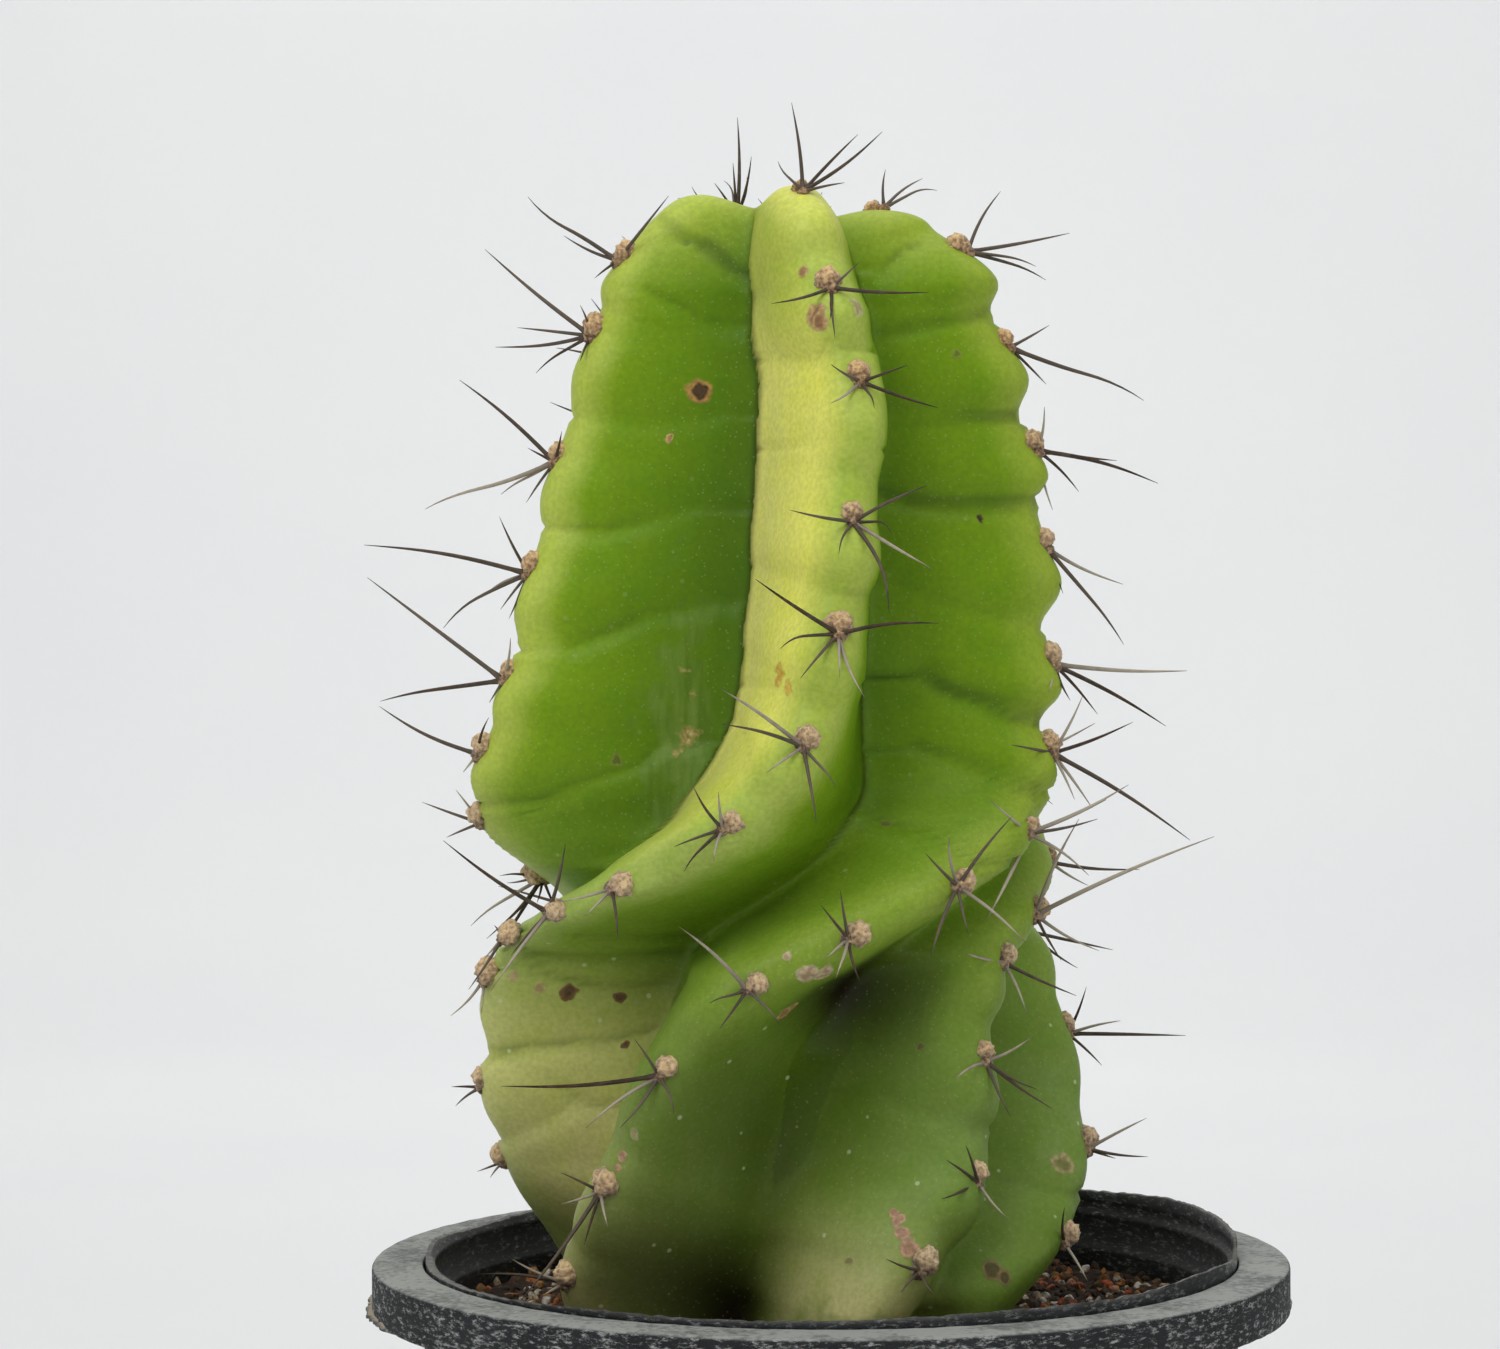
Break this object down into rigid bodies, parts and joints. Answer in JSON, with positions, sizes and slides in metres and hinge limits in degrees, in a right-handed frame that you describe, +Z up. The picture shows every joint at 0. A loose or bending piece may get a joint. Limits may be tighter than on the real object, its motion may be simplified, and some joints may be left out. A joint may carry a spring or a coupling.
{
  "type": "potted tall cactus",
  "caption": "Tall ribbed cactus whose ribs wind round its stem, with woolly pads and long spines, in a black nursery pot with a cut inner pot.",
  "frame": {"origin": "middle of the outer pot's flat base, where it stands", "axes": "+Z up along the pot's axis, the camera side of the plant faces -Y, +X to its right"},
  "size_m": [0.2022, 0.2, 0.4293],
  "materials": {
    "stem_skin": "waxy green skin",
    "spine": "dry grey brown spine and tan wool",
    "soil": "rough potting soil with grit",
    "outer_plastic": "dusty scuffed black",
    "inner_plastic": "satin black"
  },
  "bodies": {
    "root": {"outer_pot": "outer_plastic", "inner_pot": "inner_plastic", "soil": "soil", "stem": "stem_skin", "crown_tuft": "spine", "spines_a_01": "spine", "spines_a_02": "spine", "spines_a_03": "spine", "spines_a_04": "spine", "spines_a_05": "spine", "spines_a_06": "spine", "spines_a_07": "spine", "spines_a_08": "spine", "spines_a_09": "spine", "spines_b_01": "spine", "spines_b_02": "spine", "spines_b_03": "spine", "spines_b_04": "spine", "spines_b_05": "spine", "spines_b_06": "spine", "spines_b_07": "spine", "spines_b_08": "spine", "spines_b_09": "spine", "spines_b_10": "spine", "spines_b_11": "spine", "spines_b_12": "spine", "spines_b_13": "spine", "spines_c_01": "spine", "spines_c_02": "spine", "spines_c_03": "spine", "spines_c_04": "spine", "spines_c_05": "spine", "spines_c_06": "spine", "spines_c_07": "spine", "spines_c_08": "spine", "spines_c_09": "spine", "spines_c_10": "spine", "spines_c_11": "spine", "spines_c_12": "spine", "spines_c_13": "spine", "spines_c_14": "spine", "spines_d_01": "spine", "spines_d_02": "spine", "spines_d_03": "spine", "spines_d_04": "spine", "spines_d_05": "spine", "spines_d_06": "spine", "spines_d_07": "spine", "spines_d_08": "spine", "spines_d_09": "spine", "spines_d_10": "spine", "spines_e_01": "spine", "spines_e_02": "spine", "spines_e_03": "spine", "spines_e_04": "spine", "spines_e_05": "spine", "spines_e_06": "spine", "spines_e_07": "spine", "spines_e_08": "spine", "spines_e_09": "spine"}
  },
  "joints": []
}
